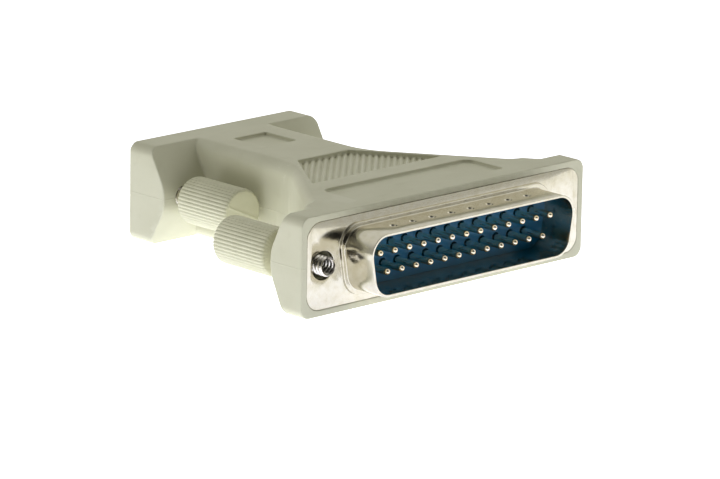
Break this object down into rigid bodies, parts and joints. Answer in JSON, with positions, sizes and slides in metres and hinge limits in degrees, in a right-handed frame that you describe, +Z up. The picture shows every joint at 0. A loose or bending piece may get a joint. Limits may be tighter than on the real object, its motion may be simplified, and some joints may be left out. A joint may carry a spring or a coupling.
{
  "type": "d-sub connector",
  "caption": "Moulded serial adapter with a wide D-sub plug at one end, a narrow D-sub socket at the other, and knurled thumbscrews at both.",
  "frame": {"origin": "middle of the 25-way flange plate, on its front (mating) face, on the centre line of the shell", "axes": "+X along the rows of contacts, towards the right seen from the front with the 13-pin row on top; -Y the mating direction of the 25-way plug and +Y that of the 9-way socket; +Z up"},
  "size_m": [0.0552, 0.0605, 0.0144],
  "materials": {
    "moulding": "matte",
    "shell_plate": "satin",
    "insulator_blue": "gloss",
    "contact_gold": "polished",
    "knob_ivory": "satin",
    "screw_steel": "satin"
  },
  "bodies": {
    "root": {"body_moulding": "moulding", "shell_25": "shell_plate", "insulator_25": "insulator_blue", "shell_9": "shell_plate", "insulator_9": "insulator_blue", "pin_25_01": "contact_gold", "pin_25_02": "contact_gold", "pin_25_03": "contact_gold", "pin_25_04": "contact_gold", "pin_25_05": "contact_gold", "pin_25_06": "contact_gold", "pin_25_07": "contact_gold", "pin_25_08": "contact_gold", "pin_25_09": "contact_gold", "pin_25_10": "contact_gold", "pin_25_11": "contact_gold", "pin_25_12": "contact_gold", "pin_25_13": "contact_gold", "pin_25_14": "contact_gold", "pin_25_15": "contact_gold", "pin_25_16": "contact_gold", "pin_25_17": "contact_gold", "pin_25_18": "contact_gold", "pin_25_19": "contact_gold", "pin_25_20": "contact_gold", "pin_25_21": "contact_gold", "pin_25_22": "contact_gold", "pin_25_23": "contact_gold", "pin_25_24": "contact_gold", "pin_25_25": "contact_gold", "contact_9_1": "contact_gold", "contact_9_2": "contact_gold", "contact_9_3": "contact_gold", "contact_9_4": "contact_gold", "contact_9_5": "contact_gold", "contact_9_6": "contact_gold", "contact_9_7": "contact_gold", "contact_9_8": "contact_gold", "contact_9_9": "contact_gold"},
    "thumbscrew_25_left": {"knob_25_left": "knob_ivory", "screw_25_left": "screw_steel"},
    "thumbscrew_25_right": {"knob_25_right": "knob_ivory", "screw_25_right": "screw_steel"},
    "thumbscrew_9_left": {"knob_9_left": "knob_ivory", "screw_9_left": "screw_steel"},
    "thumbscrew_9_right": {"knob_9_right": "knob_ivory", "screw_9_right": "screw_steel"}
  },
  "joints": [
    {"name": "turn_25_left", "type": "hinge", "parent": "root", "child": "thumbscrew_25_left", "pos_m": [-0.02352, 0, 0], "axis": [0, -1, 0], "continuous": true},
    {"name": "turn_25_right", "type": "hinge", "parent": "root", "child": "thumbscrew_25_right", "pos_m": [0.02352, 0, 0], "axis": [0, -1, 0], "continuous": true},
    {"name": "turn_9_left", "type": "hinge", "parent": "root", "child": "thumbscrew_9_left", "pos_m": [-0.01249, 0.0486, 0], "axis": [0, 1, 0], "continuous": true},
    {"name": "turn_9_right", "type": "hinge", "parent": "root", "child": "thumbscrew_9_right", "pos_m": [0.01249, 0.0486, 0], "axis": [0, 1, 0], "continuous": true}
  ]
}
